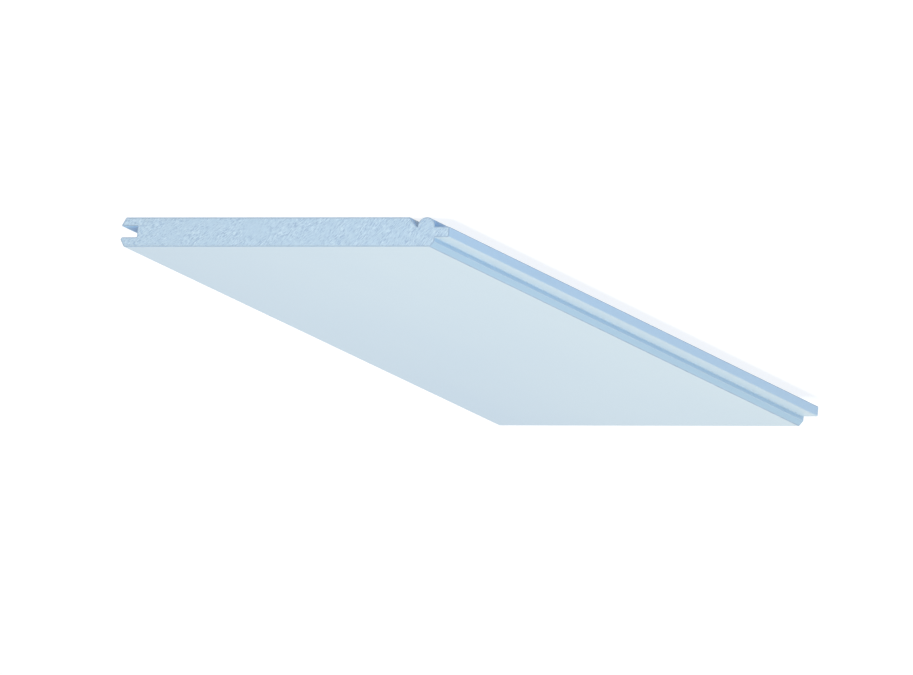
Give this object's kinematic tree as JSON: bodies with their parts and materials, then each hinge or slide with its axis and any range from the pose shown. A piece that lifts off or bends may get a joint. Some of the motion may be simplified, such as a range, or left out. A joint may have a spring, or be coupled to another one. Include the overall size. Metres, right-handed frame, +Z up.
{
  "type": "eaves lining board",
  "caption": "Short length of primed pine eaves lining, tongued and grooved along its edges, with a vee-jointed face and a beaded face.",
  "frame": {"origin": "floor level under the middle of the board, as it lies on its beaded face", "axes": "+Y along the board, +Z up through its thickness to the vee face, tongue towards -X and groove towards +X"},
  "size_m": [0.1442, 0.36, 0.012],
  "materials": {
    "primed_pine": "pale blue primer on planed pine, satin"
  },
  "bodies": {
    "root": {"lining_board": "primed_pine"}
  },
  "joints": []
}
